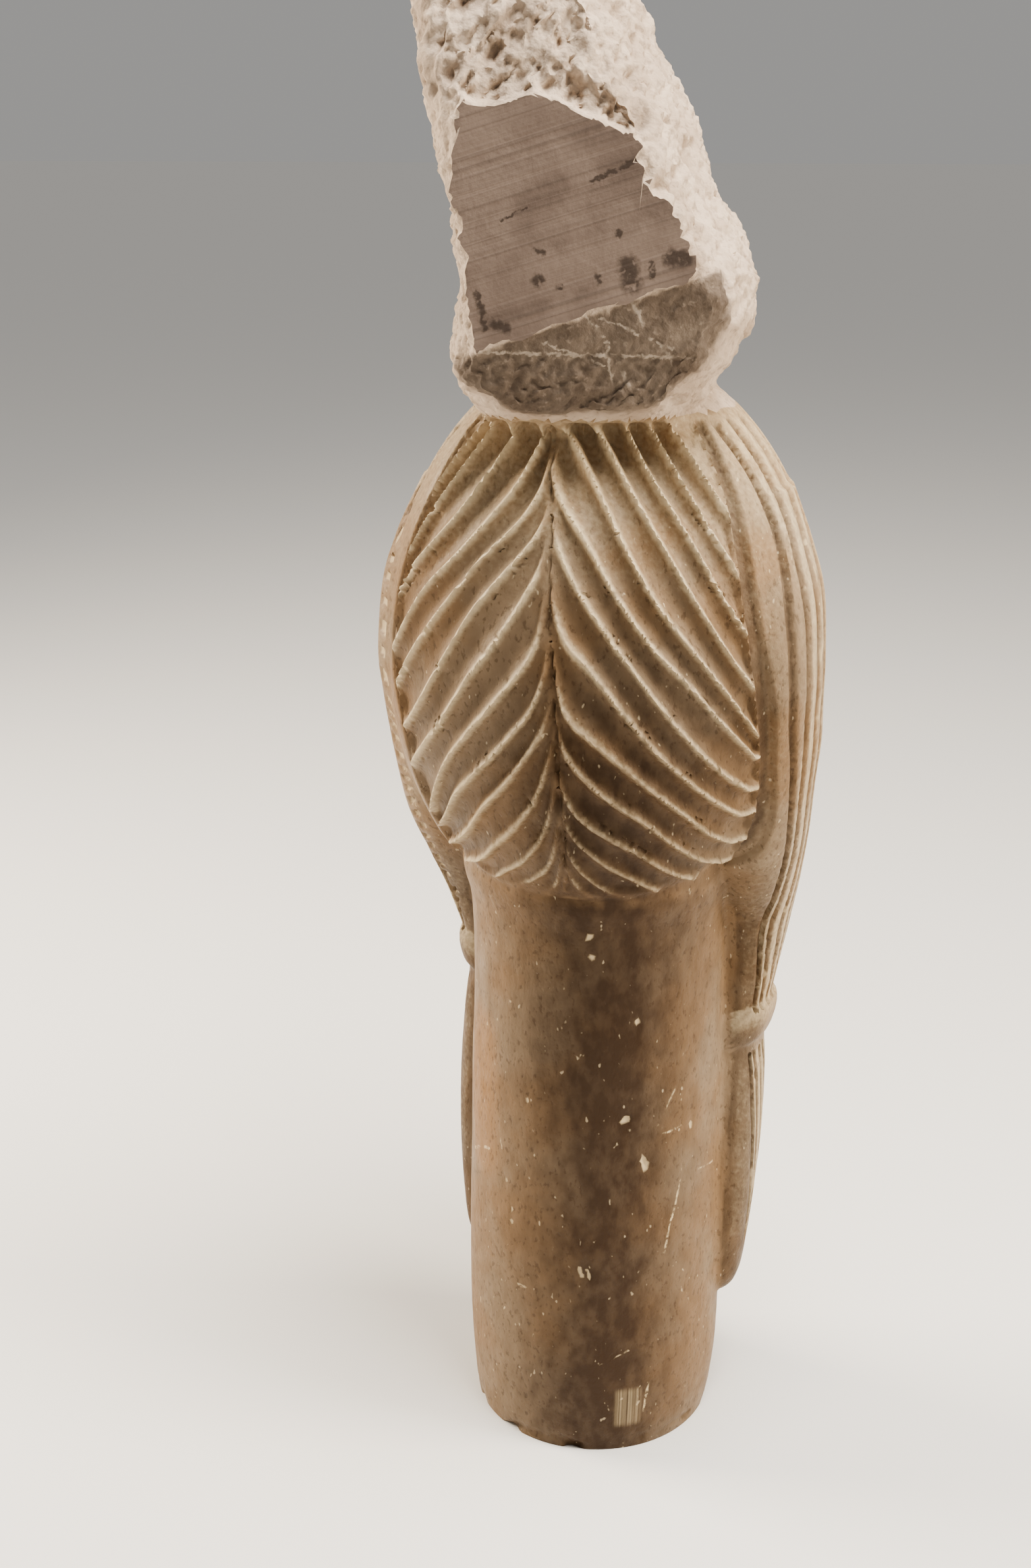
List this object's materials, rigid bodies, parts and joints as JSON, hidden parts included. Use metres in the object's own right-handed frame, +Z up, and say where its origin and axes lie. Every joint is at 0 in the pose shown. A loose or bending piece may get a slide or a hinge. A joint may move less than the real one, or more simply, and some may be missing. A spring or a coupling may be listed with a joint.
{
  "type": "stone female bust",
  "caption": "Carved stone bust of a woman on a long round neck, hair combed in strands and tied beside the neck, with a rough uncarved crown.",
  "frame": {"origin": "centre of the flat underside, under the neck's axis", "axes": "+Z up, the face looks along -Y, the nape faces +Y, the figure's right is -X"},
  "size_m": [0.1298, 0.1378, 0.4641],
  "materials": {
    "brown_stone": "rubbed smooth stone"
  },
  "bodies": {
    "root": {"bust": "brown_stone"}
  },
  "joints": []
}
